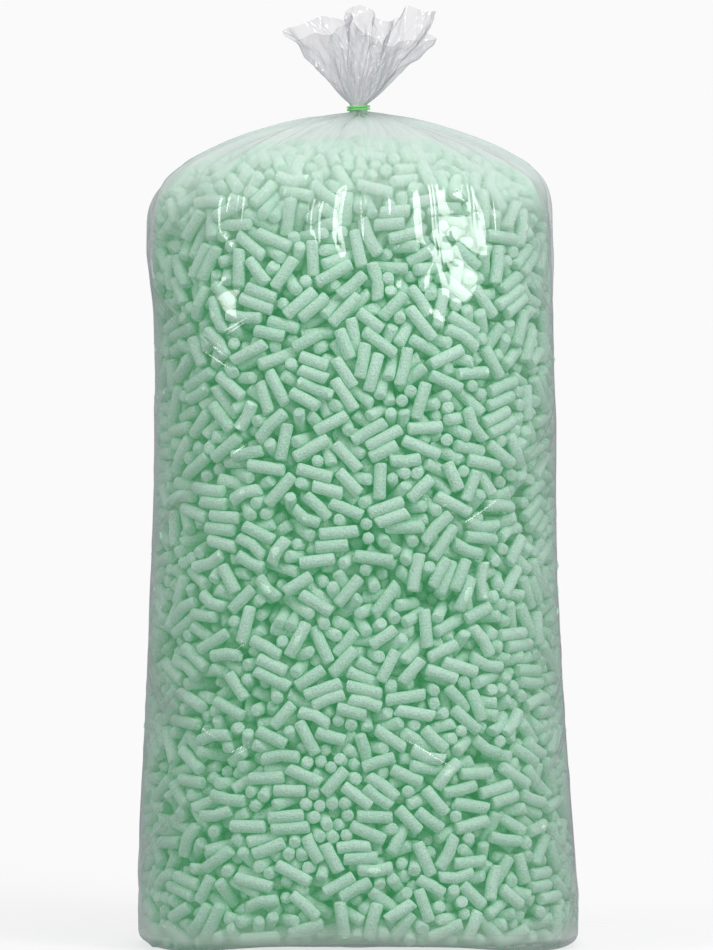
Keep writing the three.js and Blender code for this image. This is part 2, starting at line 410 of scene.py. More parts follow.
def pack_peanuts(container, held_centres, held_axes, held_length):
    """Shakes loose cylinders about in the container until they hardly overlap; the held ones stay put."""
    levels = np.linspace(container.level[0], container.level[-1], 200)
    width = np.interp(levels, container.level, container.width) + PEANUT_RADIUS
    depth = np.interp(levels, container.level, container.depth) + PEANUT_RADIUS
    squareness_share = math.gamma(1 + 1 / BODY_SQUARENESS) ** 2 / math.gamma(1 + 2 / BODY_SQUARENESS)
    volume = (4 * width * depth * squareness_share).mean() * (levels[-1] - levels[0])
    one = math.pi * PEANUT_RADIUS**2 * PEANUT_LENGTH
    count = int(PACKED_SHARE * volume / one)
    low = np.array([-container.width.max(), -container.depth.max(), container.floor])
    high = np.array([container.width.max(), container.depth.max(), container.top])
    centres = rng.uniform(low, high, (3 * count, 3))
    centres = centres[container.gap(centres)[0] > 0][:count]
    count = len(centres)
    axes = rng.normal(size=(count, 3))
    top_share = smoothstep(0.55, 0.85, centres[:, 2])
    axes[:, 2] *= lerp(0.5, 1.5, top_share)
    axes = unit(axes)
    length = PEANUT_LENGTH * (1 + LENGTH_SPREAD * rng.uniform(-1, 1, count))
    loose_from = count
    centres = np.vstack([centres, held_centres])
    axes = np.vstack([axes, held_axes])
    length = np.append(length, held_length)
    half = length / 2 - 0.55 * PEANUT_RADIUS
    turning = length**2 / 12 + PEANUT_RADIUS**2 / 4
    rounds = PACKING_ROUNDS
    for turn in range(rounds):
        if turn % 8 == 0:
            first, second = near_pairs(centres, 0.054)
            apart = closest_on_axes(
                centres[first], axes[first], half[first], centres[second], axes[second], half[second]
            )[2]
            likely = (apart * apart).sum(axis=1) < (2 * PEANUT_RADIUS + 0.006) ** 2
            first, second = first[likely], second[likely]
        radius = PEANUT_RADIUS * lerp(0.62, 1.0, min(1.0, turn / (0.4 * rounds)))
        s, t, apart = closest_on_axes(
            centres[first], axes[first], half[first], centres[second], axes[second], half[second]
        )
        distance = np.linalg.norm(apart, axis=1)
        touching = distance < 2 * radius
        count = len(centres)
        i, j = first[touching], second[touching]
        s, t, apart, distance = s[touching], t[touching], apart[touching], distance[touching]
        way = apart / np.maximum(distance, 1e-6)[:, None]
        push = 0.45 * (2 * radius - distance) / (2 + s * s / turning[i] + t * t / turning[j])
        push_vector = way * push[:, None]
        centres += summed(count, i, push_vector) - summed(count, j, push_vector)
        swing = push_vector * (s / turning[i])[:, None]
        swing_back = push_vector * (t / turning[j])[:, None]
        turned = summed(count, i, swing) - summed(count, j, swing_back)
        axes = unit(axes + turned - (turned * axes).sum(axis=1, keepdims=True) * axes)
        # The film draws the outer layer flat against itself.
        inside, outward = container.gap(centres)
        outer = np.clip(1 - inside / 0.010, 0, 1) * (1 - smoothstep(0.74, 0.82, centres[:, 2]))
        leaning = (axes * outward).sum(axis=1)
        lay_flat = 0.12 * outer * (np.abs(leaning) < 0.80)
        axes = unit(axes - (lay_flat * leaning)[:, None] * outward)
        centres += outward * (0.00025 * outer)[:, None]
        for side in (-1.0, 1.0):
            ends = centres + side * half[:, None] * axes
            inside, outward = container.gap(ends)
            back = outward * np.clip(inside, -0.004, 0.0)[:, None]
            back[:, 2] += np.clip(container.floor - ends[:, 2], 0.0, 0.004)
            back[:, 2] -= np.clip(ends[:, 2] - container.top, 0.0, 0.004)
            centres += back * 0.6
            tilt = side * back / half[:, None] * 0.4
            axes = unit(axes + tilt - (tilt * axes).sum(axis=1, keepdims=True) * axes)
        centres[loose_from:] = held_centres
        axes[loose_from:] = held_axes
    centres, axes, length = centres[:loose_from], axes[:loose_from], length[:loose_from]
    # Those that reach under the floor are lifted on to it, though a bent one may still dip just under.
    end_drop = PEANUT_RADIUS * np.sqrt(1 - np.clip(axes[:, 2] ** 2, 0, 1))
    lowest = centres[:, 2] - length / 2 * np.abs(axes[:, 2]) - end_drop
    centres[:, 2] += np.clip(0.0006 - lowest, 0, None)
    inside, _ = container.gap(centres)
    inside = np.minimum(inside, centres[:, 2] - container.floor)
    inside = np.minimum(inside, container.top - centres[:, 2])
    return centres, axes, length, inside



# ---------------------------------------------------------------- the peanuts as pieces

# How far in from the end, and how wide, each ring of a peanut is.
END_RINGS = {
    "fine": [(0.0, 0.0), (0.0002, 0.66), (0.0009, 0.90), (END_ROUND, 1.0)],
    "plain": [(0.0, 0.0), (0.0004, 0.80), (0.0024, 1.0)],
    "core": [(0.0, 0.0), (0.0010, 0.95)],
}


def peanut_shape(name, detail, sides, bend, slant):
    """One foam cylinder along Z: rounded, slightly slanted cut ends, and a bend where bend isn't 0."""
    half = PEANUT_LENGTH / 2
    lower = [(-half + into, share) for into, share in END_RINGS[detail]]
    middle = [(0.0, 1.0)] if bend and detail == "fine" else []
    rings = lower + middle + [(-z, share) for z, share in reversed(lower)]
    points = []
    for z, share in rings:
        along = z / half
        for side in range(sides if share else 1):
            angle = 2 * math.pi * side / sides
            rough = 1 + 0.03 * math.sin(3.7 * side + 5.1 * along + 9000 * slant)
            x = PEANUT_RADIUS * share * rough * math.cos(angle)
            y = PEANUT_RADIUS * share * rough * math.sin(angle)
            tip = slant * x / PEANUT_RADIUS if abs(along) > 0.8 else 0.0
            points.append((x + bend * (1 - 2 * along**2), y, z + tip))
    faces = []
    start = 0
    counts = [sides if share else 1 for _, share in rings]
    for count, above in zip(counts, counts[1:]):
        upper = start + count
        for side in range(sides):
            after = (side + 1) % sides
            if count == 1:
                faces.append((start, upper + after, upper + side))
            elif above == 1:
                faces.append((start + side, start + after, upper))
            else:
                faces.append((start + side, start + after, upper + after, upper + side))
        start = upper
    mesh = bpy.data.meshes.new(name)
    mesh.from_pydata(points, [], faces)
    mesh.polygons.foreach_set("use_smooth", [True] * len(mesh.polygons))
    return bpy.data.objects.new(name, mesh)


def peanut_shapes(detail, sides):
    shapes = bpy.data.collections.new(detail + " peanuts")
    bends = (0.0, 0.0, 0.0, 0.0008, 0.0, 0.0014, 0.0, 0.0026)
    slants = (0.0, 0.0012, -0.0008, 0.0005, 0.0020, 0.0010, 0.0004, 0.0008)
    for number, (bend, slant) in enumerate(zip(bends, slants)):
        shapes.objects.link(peanut_shape(f"{detail}_peanut_{number}", detail, sides, bend, slant))
    return shapes


def scatter_tree():
    """Geometry Nodes: a peanut on every point, laid, rolled and stretched as the point says."""
    tree = bpy.data.node_groups.new("Laid peanuts", "GeometryNodeTree")
    add_socket(tree, "Points", "Geometry")
    add_socket(tree, "Peanut shapes", "Collection")
    thick = add_socket(tree, "Thickness", "Float")
    thick.default_value = 1.0
    add_socket(tree, "Foam", "Material")
    add_socket(tree, "Peanuts", "Geometry", "OUTPUT")
    nodes, links = tree.nodes, tree.links

    def stored(name, kind):
        node = add_node(nodes, "GeometryNodeInputNamedAttribute", {"Name": name}, data_type=kind)
        return node.outputs["Attribute"]

    given = nodes.new("NodeGroupInput")
    shapes = add_node(
        nodes, "GeometryNodeCollectionInfo", {"Separate Children": True, "Reset Children": True},
    )
    lay = add_node(nodes, "FunctionNodeAlignRotationToVector", axis="Z")
    roll = add_node(nodes, "FunctionNodeRotateRotation", rotation_space="LOCAL")
    about = nodes.new("ShaderNodeCombineXYZ")
    size = nodes.new("ShaderNodeCombineXYZ")
    girth = add_node(nodes, "ShaderNodeMath", operation="MULTIPLY")
    place = add_node(nodes, "GeometryNodeInstanceOnPoints", {"Pick Instance": True})
    realize = nodes.new("GeometryNodeRealizeInstances")
    finish = nodes.new("GeometryNodeSetMaterial")
    out = nodes.new("NodeGroupOutput")
    wire(given, "Peanut shapes", shapes, "Collection")
    links.new(stored("lay", "FLOAT_VECTOR"), lay.inputs["Vector"])
    links.new(stored("roll", "FLOAT"), about.inputs["Z"])
    wire(lay, 0, roll, "Rotation")
    wire(about, 0, roll, "Rotate By")
    wire(given, "Thickness", girth, 0)
    links.new(stored("girth", "FLOAT"), girth.inputs[1])
    wire(girth, 0, size, "X")
    wire(girth, 0, size, "Y")
    links.new(stored("stretch", "FLOAT"), size.inputs["Z"])
    wire(given, "Points", place, "Points")
    wire(shapes, 0, place, "Instance")
    links.new(stored("kind", "INT"), place.inputs["Instance Index"])
    wire(roll, 0, place, "Rotation")
    wire(size, 0, place, "Scale")
    wire(place, 0, realize, 0)
    wire(realize, 0, finish, "Geometry")
    wire(given, "Foam", finish, "Material")
    wire(finish, 0, out, 0)
    return tree


def lay_peanuts(name, tree, shapes, foam, centres, axes, length):
    """One piece: these peanuts, each with its own roll, girth, shape and tone."""
    count = len(centres)
    mesh = bpy.data.meshes.new(name + "_points")
    mesh.from_pydata([tuple(centre) for centre in centres], [], [])
    stored = {
        "lay": ("FLOAT_VECTOR", axes.ravel()),
        "roll": ("FLOAT", rng.uniform(0, 2 * math.pi, count)),
        "stretch": ("FLOAT", length / PEANUT_LENGTH),
        "girth": ("FLOAT", rng.uniform(0.95, 1.02, count)),
        "kind": ("INT", rng.integers(0, len(shapes.objects), count)),
        "tone": ("FLOAT", rng.uniform(0, 1, count)),
    }
    for attribute, (kind, values) in stored.items():
        field = "vector" if kind == "FLOAT_VECTOR" else "value"
        mesh.attributes.new(attribute, kind, "POINT").data.foreach_set(field, values)
    points = bpy.data.objects.new(name + "_points", mesh)
    bpy.context.scene.collection.objects.link(points)
    modifier = points.modifiers.new("Laid peanuts", "NODES")
    modifier.node_group = tree
    sockets = {item.name: item.identifier for item in tree.interface.items_tree if item.in_out == "INPUT"}
    modifier[sockets["Peanut shapes"]] = shapes
    modifier[sockets["Foam"]] = foam
    evaluated = points.evaluated_get(bpy.context.evaluated_depsgraph_get())
    made = bpy.data.meshes.new_from_object(evaluated)
    bpy.data.objects.remove(points)
    piece = bpy.data.objects.new(name, made)
    made.name = name
    bpy.context.scene.collection.objects.link(piece)
    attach(piece, "root")
    return piece


def loose_places(nodes):
    """Middle, direction and length of each loose peanut, from its CAD node."""
    centres, axes, length = [], [], []
    for node in nodes:
        points = node_points(node)
        middle = points.mean(axis=0)
        way = np.linalg.svd(points - middle, full_matrices=False)[2][0]
        along = (points - middle) @ way
        centres.append(middle + way * (along.max() + along.min()) / 2)
        axes.append(way)
        length.append(np.ptp(along))
    return np.array(centres), np.array(axes), np.array(length)


# ---------------------------------------------------------------- the film

# Half width, lean to the right, height: the outline of the CAD film above its base edge.
SIDE_STOPS = [
    (0.252, 0.000, 0.042),
    (0.246, -0.003, 0.170),
    (0.234, -0.005, 0.390),
    (0.229, -0.004, 0.620),
    (0.228, -0.008, 0.800),
    (0.223, -0.008, 0.848),
    (0.200, -0.006, 0.882),
    (0.160, -0.005, 0.907),
    (0.094, -0.003, 0.930),
    (0.034, 0.000, 0.943),
    (NECK_RADIUS, 0.000, NECK_BOTTOM),
]
# The bag's open rim above the tie, from its right ear round the back to its left ear and the front.
RIM_STOPS = [
    (0.088, -0.010, 1.033),
    (0.078, 0.006, 1.040),
    (0.094, 0.020, 1.057),
    (0.074, 0.034, 1.062),
    (0.052, 0.038, 1.068),
    (0.043, 0.028, 1.056),
    (0.030, 0.038, 1.055),
    (0.018, 0.030, 1.060),
    (0.010, 0.044, 1.069),
    (-0.003, 0.050, 1.071),
    (-0.014, 0.040, 1.064),
    (-0.018, 0.050, 1.058),
    (-0.040, 0.046, 1.057),
    (-0.062, 0.028, 1.051),
    (-0.085, 0.004, 1.042),
    (-0.070, -0.008, 1.031),
    (-0.050, -0.014, 1.038),
    (-0.034, -0.036, 1.034),
    (-0.022, -0.050, 1.045),
    (-0.006, -0.040, 1.051),
    (0.010, -0.052, 1.040),
    (0.026, -0.038, 1.027),
    (0.038, -0.050, 1.022),
    (0.060, -0.036, 1.024),
    (0.078, -0.024, 1.029),
]
MOUTH_RINGS = 34


def closed_curve(stops, count):
    """A smooth closed loop through the stops, in this many even steps."""
    stops = np.array(stops, float)
    share = np.linspace(0, 1, 40, endpoint=False)[:, None]
    loop = []
    for i in range(len(stops)):
        before, start, end, after = [stops[(i + k) % len(stops)] for k in (-1, 0, 1, 2)]
        loop.append(smooth_stretch(start, (end - before) / 2, end, (after - start) / 2, share))
    loop = np.vstack(loop + [stops[:1]])
    run = distance_along(loop)
    at = np.arange(count) / count * run[-1]
    return np.stack([np.interp(at, run, loop[:, axis]) for axis in range(3)], axis=1)


def film_outline():
    base_width = SIDE_STOPS[0][0]
    flat = base_width - BASE_EDGE_RADIUS
    flat_steps = int(flat / (2 * FILM_STEP))
    base = [(flat * (k + 1) / flat_steps, 0.0, 0.0) for k in range(flat_steps)]
    edge_steps = int(BASE_EDGE_RADIUS * math.pi / 2 / FILM_STEP)
    for k in range(1, edge_steps):
        turn = math.pi / 2 * k / edge_steps
        base.append((
            flat + BASE_EDGE_RADIUS * math.sin(turn), 0.0, BASE_EDGE_RADIUS * (1 - math.cos(turn)),
        ))
    return np.vstack([base, smooth_path(SIDE_STOPS, FILM_STEP)])


def section_radius(angles, width, depth_to_width, squareness):
    across = np.abs(np.cos(angles)) ** squareness
    deep = np.abs(np.sin(angles) / depth_to_width) ** squareness
    return width * (across + deep) ** (-1 / squareness)


def waves(angles, orders, seed):
    """A wandering ripple round the bag: waves of these orders, each with its own phase and height."""
    picked = np.random.default_rng(seed)
    ripple = np.zeros_like(angles)
    for order in orders:
        ripple = ripple + picked.uniform(0.5, 1.0) * np.cos(order * angles + picked.uniform(0, 2 * math.pi))
    return ripple / math.sqrt(len(orders))


def wander(points, seed):
    """A smooth random height, about -1 to 1, that changes over a length of one."""
    lattice = np.random.default_rng(seed).uniform(-1, 1, (32, 32, 32))
    corner = np.floor(points).astype(int)
    share = points - corner
    share = share * share * (3 - 2 * share)
    height = np.zeros(points.shape[:-1])
    for dx in (0, 1):
        for dy in (0, 1):
            for dz in (0, 1):
                step = np.array([dx, dy, dz])
                weight = np.prod(np.where(step == 1, share, 1 - share), axis=-1)
                at = (corner + step) % 32
                height += weight * lattice[at[..., 0], at[..., 1], at[..., 2]]
    return height


def creases(points, seed, sharpness):
    """Thin raised lines where the random height crosses nought, 0 to 1."""
    return np.clip(1 - np.abs(wander(points, seed)) * 1.6, 0, 1) ** sharpness


def blurred(field, rings, steps):
    """A running mean up the bag and round it."""
    for _ in range(rings):
        padded = np.vstack([field[:1], field, field[-1:]])
        field = (padded[:-2] + 2 * padded[1:-1] + padded[2:]) / 4
    for _ in range(steps):
        field = (np.roll(field, 1, axis=1) + 2 * field + np.roll(field, -1, axis=1)) / 4
    return field


def grid_normals(grid):
    round_about = np.roll(grid, -1, axis=1) - np.roll(grid, 1, axis=1)
    up = np.gradient(grid, axis=0)
    return unit(np.cross(round_about, up))


def touch_depth(grid, normals, first_ring, last_ring, centres, axes, length, limit):
    """How far each point of the film can move in before it meets a peanut."""
    depth = np.full(grid.shape[:2], limit)
    places = np.linspace(-1, 1, 9)
    reach = (length / 2 - 0.45 * PEANUT_RADIUS)[:, None, None] * places[None, :, None]
    spheres = (centres[:, None, :] + reach * axes[:, None, :]).reshape(-1, 3)
    around = grid.shape[1]
    angle_of = np.arctan2(spheres[:, 1], spheres[:, 0])
    step = np.round(angle_of / (2 * math.pi) * around).astype(int)
    # The nearest ring to each sphere, from the film's own columns.
    column = grid[first_ring:last_ring, step % around]
    away = ((column - spheres[None]) ** 2).sum(axis=2)
    ring = away.argmin(axis=0) + first_ring
    near = away.min(axis=0) < 0.045**2
    spheres, step, ring = spheres[near], step[near], ring[near]
    for dr in range(-3, 4):
        for ds in range(-3, 4):
            r = ring + dr
            inside = (r >= first_ring) & (r < last_ring)
            rr, cc = r[inside], (step[inside] + ds) % around
            to = spheres[inside] - grid[rr, cc]
            inward = -(to * normals[rr, cc]).sum(axis=1)
            off = (to * to).sum(axis=1) - inward**2
            hit = off < PEANUT_RADIUS**2
            move = inward[hit] - np.sqrt(PEANUT_RADIUS**2 - off[hit])
            np.minimum.at(depth, (rr[hit], cc[hit]), move)
    return depth


def lowest_near(field, reach):
    """The least value within reach cells, round the bag and up it."""
    low = field
    for _ in range(reach):
        low = np.minimum(low, np.minimum(np.roll(low, 1, axis=1), np.roll(low, -1, axis=1)))
        padded = np.vstack([low[:1], low, low[-1:]])
        low = np.minimum(low, np.minimum(padded[:-2], padded[2:]))
    return low


def lifted(points):
    """The base's front and back edges curl up a little off the floor, most at their middle."""
    across = np.clip(1 - (points[..., 0] / 0.19) ** 2, 0, 1)
    outer = smoothstep(0.06, 0.19, np.abs(points[..., 1]))
    low = np.clip(1 - points[..., 2] / 0.16, 0, 1) ** 2
    raised = points.copy()
    raised[..., 2] += BASE_LIFT * across * outer * low
    return raised


def unrolled_place(turned, run):
    """Where each point is on the film, unrolled round a cylinder of radius one."""
    return np.stack([np.cos(turned), np.sin(turned), np.broadcast_to(run, turned.shape)], -1)


def film_body(angles, outline, centres, axes, length):
    rings = []
    for width, lean, height in outline:
        neckless = smoothstep(NECK_RADIUS, 0.126, width) if height > SHOULDER_HEIGHT else 1.0
        depth_to_width = lerp(1, DEPTH_TO_WIDTH * fullness(height), neckless)
        radius = section_radius(angles, width, depth_to_width, lerp(2, BODY_SQUARENESS, neckless))
        level = np.full(len(angles), height)
        rings.append(np.stack([lean + radius * np.cos(angles), radius * np.sin(angles), level], axis=1))
    grid = np.array(rings)
    normals = grid_normals(grid)
    height = outline[:, 2][:, None]
    width = outline[:, 0][:, None]
    # Drawn in on to the peanuts, smoothly, as far as the nearest ones let it.
    touch = touch_depth(grid, normals, 0, len(outline), centres, axes, length, 0.012)
    sag = blurred(lowest_near(touch, 3), 8, 8) - 0.0003
    sag = np.clip(sag, -0.001, 0.0015) * (1 - smoothstep(0.66, 0.80, height))
    sag = np.where(height < 0.002, np.minimum(sag, 0.0006), sag)
    # Slack that the tie gathers: flat facets with straight edges that run down from the neck.
    round_about = np.broadcast_to(angles, grid.shape[:2])
    run = distance_along(outline[:, [0, 2]])[:, None]
    gathered = smoothstep(0.70, 0.90, height) * np.clip(width / 0.06, 0, 1)
    unrolled = unrolled_place(round_about, run)
    facets = creases(unrolled * [3.6, 3.6, 1.6], 31, 1.0) + 0.5 * creases(unrolled * [8.0, 8.0, 2.0], 32, 1.0)
    tent = 0.0062 * gathered * (facets - 0.5)
    near_neck = np.clip(1 - (width - NECK_RADIUS) / 0.10, 0, 1) ** 1.5
    pleat = 0.0020 * near_neck * waves(round_about, (17, 22, 27, 33), 3) * np.clip(width / 0.03, 0, 1)
    pleat += 0.0006 * np.clip(1 - (width - NECK_RADIUS) / 0.02, 0, 1) * np.cos(24 * round_about)
    # Broad, shallow dents and a few slack folds that cross the sides on a slant.
    dents = 0.0012 * wander(unrolled * [3.0, 3.0, 11.0], 35) * (1 - gathered)
    shoulder = smoothstep(0.70, 0.79, height) * (1 - smoothstep(0.86, 0.92, height))
    dents += 0.0100 * shoulder * (creases(unrolled * [3.3, 3.3, 9.5], 36, 1.0) - 0.5)
    dents += 0.0036 * shoulder * (creases(unrolled * [7.0, 7.0, 17.0], 37, 1.0) - 0.5)
    foot = smoothstep(0.0, 0.010, height) * (1 - smoothstep(0.05, 0.09, height))
    dents += 0.0046 * foot * (creases(unrolled * [6.0, 6.0, 26.0], 38, 1.0) - 0.4)
    slanted = 0.0
    for turn, seed in ((7.0, 33), (-6.0, 34)):
        way = unrolled_place(round_about + turn * run, run)
        slack = np.clip(2.6 * wander(way * [1.8, 1.8, 4.0], seed + 4) - 0.3, 0, 1)
        slanted = slanted + creases(way * [5.0, 5.0, 1.6], seed, 4.0) * slack
    folds = 0.0020 * slanted * smoothstep(0.03, 0.10, height) * (1 - smoothstep(0.74, 0.84, height))
    pleat = pleat + dents
    move = np.maximum(tent + pleat + folds - sag, 0.0004 - lowest_near(touch, 1))
    grid = grid + normals * blurred(move, 1, 1)[:, :, None]
    grid[:, :, 2] = np.maximum(grid[:, :, 2], 0.0002)
    return grid


def film_mouth(angles, neck_ring):
    """From the tie up to the open rim: gathered pleats that open out into a crumpled, lobed flare."""
    rim = closed_curve(RIM_STOPS, len(angles))
    rings = []
    for k in range(1, MOUTH_RINGS + 1):
        t = k / MOUTH_RINGS
        ring = neck_ring.copy()
        ring[:, :2] = lerp(neck_ring[:, :2], lerp(0.8, 1.0, t) * rim[:, :2], t**0.8)
        ring[:, 2] = lerp(NECK_TOP, rim[:, 2], t)
        rings.append(ring)
    grid = np.array(rings)
    outward = unit(grid_normals(grid))
    t = (np.arange(1, MOUTH_RINGS + 1) / MOUTH_RINGS)[:, None]
    round_about = np.broadcast_to(angles, grid.shape[:2])
    along = unrolled_place(round_about, t)
    pleat = waves(round_about + 0.3 * wander(along * [1.5, 1.5, 1.5], 41), (9, 13, 17, 24), 42)
    push = 0.0018 * smoothstep(0.0, 0.25, t) * (1 - 0.6 * t) * pleat
    push += 0.0100 * t * wander(along * [2.6, 2.6, 2.8], 43)
    push += 0.0060 * t * (creases(along * [3.4, 3.4, 3.6], 44, 1.0) - 0.5)
    push += 0.0022 * t * (creases(along * [7.0, 7.0, 7.0], 45, 1.0) - 0.5)
    grid = grid + outward * push[:, :, None]
    grid[:, :, 2] = np.minimum(grid[:, :, 2], 1.0735)
    return grid


def make_film(material, centres, axes, length):
    outline = film_outline()
    angles = np.arange(FILM_AROUND) / FILM_AROUND * 2 * math.pi
    body = film_body(angles, outline, centres, axes, length)
    neck = body[-1].copy()
    waist = [neck + [0.0, 0.0, share * (NECK_TOP - NECK_BOTTOM)] for share in (0.5, 1.0)]
    grid = np.concatenate([lifted(body), np.array(waist), film_mouth(angles, waist[-1])])
    points = [tuple(point) for point in grid.reshape(-1, 3)] + [(0.0, 0.0, 0.0)]
    faces = []
    for ring in range(len(grid) - 1):
        for step in range(FILM_AROUND):
            after = (step + 1) % FILM_AROUND
            lower, upper = ring * FILM_AROUND, (ring + 1) * FILM_AROUND
            faces.append((lower + step, lower + after, upper + after, upper + step))
    middle = len(points) - 1
    faces += [(middle, (step + 1) % FILM_AROUND, step) for step in range(FILM_AROUND)]
    film = mesh_object("bag_film_sheet", points, faces)
    # Where each point is on the unrolled film, straight up it and on a slant either way.
    run = distance_along(grid[:, 0])[:, None]
    height = grid[:, :, 2]
    around = np.linalg.norm(np.roll(grid, -1, axis=1) - grid, axis=2).sum(axis=1)[:, None]
    sideways = smoothstep(0.55, 0.95, np.abs(np.cos(angles)))
    masks = {
        "gathered": smoothstep(0.75, 0.89, height) * (1 - smoothstep(0.96, 0.98, height)),
        "flared": smoothstep(0.965, 0.985, height),
        "bunching": np.clip(0.236 / np.maximum(around / (2 * math.pi), 0.02) - 1, 0, 7) * (height > 0.5),
        "slack": lerp(0.5, 1.8, sideways) * (1 - smoothstep(0.74, 0.84, height)),
        # The foot strip, where the haze is thicker and paler: partly the folded film's own haze, partly a
        # painted reflection of the pale floor.
        "foot": smoothstep(0.006, 0.014, height) * (1 - smoothstep(0.030, 0.042, height)),
        "shoulder": smoothstep(0.76, 0.87, height) * (1 - smoothstep(0.935, 0.95, height)),
    }
    for name, mask in masks.items():
        values = np.append(np.broadcast_to(mask, height.shape).ravel(), 0.0)
        film.data.attributes.new(name, "FLOAT", "POINT").data.foreach_set("value", values)
    for name, turn in (("straight", 0.0), ("slant_left", 7.0), ("slant_right", -7.0)):
        place = np.vstack([unrolled_place(angles + turn * run, run).reshape(-1, 3), [[0.0, 0.0, 0.0]]])
        film.data.attributes.new(name, "FLOAT_VECTOR", "POINT").data.foreach_set("vector", place.ravel())
    film.data.materials.append(material)
    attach(film, "root")
    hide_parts("bag_film")
    return film


# ---------------------------------------------------------------- materials

def foam_material():
    material, nodes = new_material("mint foam")
    out = nodes.new("ShaderNodeOutputMaterial")
    foam = add_node(nodes, "ShaderNodeBsdfPrincipled", {"Roughness": 0.75, "Specular IOR Level": 0.3})
    place = nodes.new("ShaderNodeTexCoord")
    cells = add_node(nodes, "ShaderNodeTexVoronoi", {"Scale": 520.0})
    grain = add_node(nodes, "ShaderNodeTexNoise", {"Scale": 520.0, "Detail": 2.0, "Roughness": 0.8})
    tone = add_node(nodes, "ShaderNodeAttribute", attribute_name="tone")
    shades = colour_ramp(nodes, (0.0, (0.575, 0.815, 0.675)), (1.0, (0.685, 0.895, 0.775)))
    speckle = add_node(nodes, "ShaderNodeMix", {"Factor": 1.0}, data_type="RGBA", blend_type="MULTIPLY")
    pores = add_node(
        nodes, "ShaderNodeMapRange", {"From Min": 0.36, "From Max": 0.64, "To Min": 0.82, "To Max": 1.07},
    )
    bump = add_node(nodes, "ShaderNodeBump", {"Strength": 1.0, "Distance": 0.0010})
    wire(place, "Object", grain, "Vector")
    wire(place, "Object", cells, "Vector")
    wire(tone, "Fac", shades, "Fac")
    wire(grain, "Fac", pores, "Value")
    wire(shades, "Color", speckle, "A")
    wire(pores, "Result", speckle, "B")
    wire(speckle, "Result", foam, "Base Color")
    wire(cells, "Distance", bump, "Height")
    wire(bump, "Normal", foam, "Normal")
    # Painted glow: a faint deep-green emission stands in for the light that soaks through the foam and comes
    # back out a deeper green, and lifts the shade between the peanuts.
    foam.inputs["Emission Color"].default_value = (0.06, 1.0, 0.30, 1.0)
    foam.inputs["Emission Strength"].default_value = 0.075
    material.cycles.emission_sampling = "NONE"
    wire(foam, 0, out, "Surface")
    return material


def crease_group():
    """Shared effect: sparse thin lines on the film, as a height."""
    group = bpy.data.node_groups.new("Film creases", "ShaderNodeTree")
    add_socket(group, "Place", "Vector")
    add_socket(group, "Stretch", "Vector")
    add_socket(group, "Sharpness", "Float")
    add_socket(group, "Share", "Float")
    add_socket(group, "Height", "Float", "OUTPUT")
    nodes = group.nodes
    given = nodes.new("NodeGroupInput")
    out = nodes.new("NodeGroupOutput")
    stretched = add_node(nodes, "ShaderNodeVectorMath", operation="MULTIPLY")
    field = add_node(nodes, "ShaderNodeTexNoise", {"Scale": 1.0, "Detail": 1.0, "Distortion": 0.5})
    centred = add_node(nodes, "ShaderNodeMath", {1: 0.5}, operation="SUBTRACT")
    folded = add_node(nodes, "ShaderNodeMath", operation="ABSOLUTE")
    line = add_node(
        nodes, "ShaderNodeMapRange", {"From Min": 0.0, "From Max": 0.16, "To Min": 1.0, "To Max": 0.0},
    )
    sharp = add_node(nodes, "ShaderNodeMath", operation="POWER")
    patches = add_node(nodes, "ShaderNodeTexNoise", {"Scale": 0.45, "Detail": 0.0})
    patch = add_node(
        nodes, "ShaderNodeMapRange", {"To Min": 0.0, "To Max": 1.0}, interpolation_type="SMOOTHSTEP",
    )
    reach = add_node(nodes, "ShaderNodeMath", {1: 0.12}, operation="ADD")
    height = add_node(nodes, "ShaderNodeMath", operation="MULTIPLY")
    wire(given, "Place", stretched, 0)
    wire(given, "Stretch", stretched, 1)
    wire(stretched, 0, field, "Vector")
    wire(stretched, 0, patches, "Vector")
    wire(field, "Fac", centred, 0)
    wire(centred, 0, folded, 0)
    wire(folded, 0, line, "Value")
    wire(line, "Result", sharp, 0)
    wire(given, "Sharpness", sharp, 1)
    wire(patches, "Fac", patch, "Value")
    wire(given, "Share", patch, "From Min")
    wire(given, "Share", reach, 0)
    wire(reach, 0, patch, "From Max")
    wire(sharp, 0, height, 0)
    wire(patch, "Result", height, 1)
    wire(height, 0, out, "Height")
    return group


